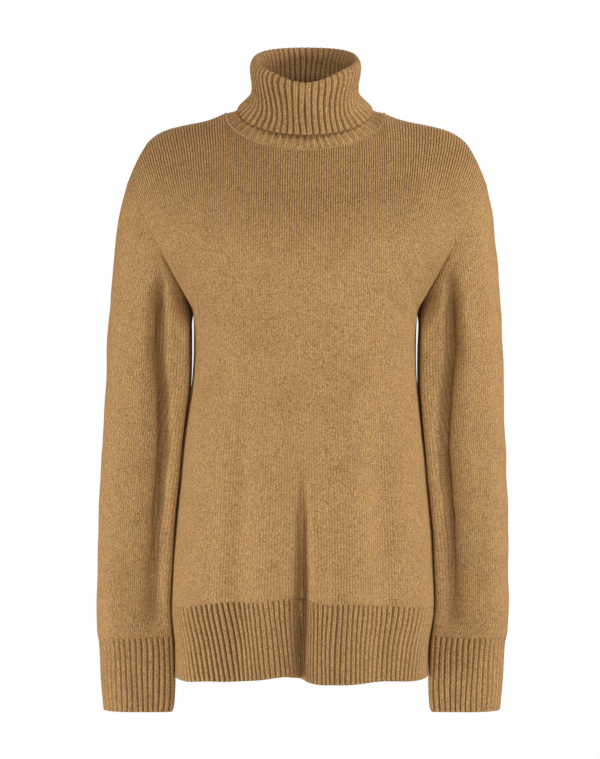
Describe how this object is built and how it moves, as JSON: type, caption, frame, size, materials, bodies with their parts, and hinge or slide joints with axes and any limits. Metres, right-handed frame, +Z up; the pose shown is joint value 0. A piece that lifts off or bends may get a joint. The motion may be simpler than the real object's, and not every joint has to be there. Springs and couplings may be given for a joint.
{
  "type": "cashmere roll-neck sweater",
  "caption": "Long-sleeved roll-neck pullover in camel cashmere, filled out as worn, with dropped shoulders and deep ribbed hem and cuffs.",
  "frame": {"origin": "middle of the neck base, between the two neck points of the shoulder seams, where a wearer's shoulders hold the garment up", "axes": "+Z up, -Y the garment's front, +X the wearer's left"},
  "size_m": [0.493, 0.2256, 0.8004],
  "materials": {
    "cashmere_jersey": "soft brushed plain knit, matte",
    "cashmere_rib": "soft brushed rib knit, matte"
  },
  "bodies": {
    "root": {"front": "cashmere_jersey", "back": "cashmere_jersey", "sleeve_left": "cashmere_jersey", "sleeve_right": "cashmere_jersey", "cuff_left": "cashmere_rib", "cuff_right": "cashmere_rib", "hem_front": "cashmere_rib", "hem_back": "cashmere_rib", "roll_collar": "cashmere_rib"}
  },
  "joints": []
}
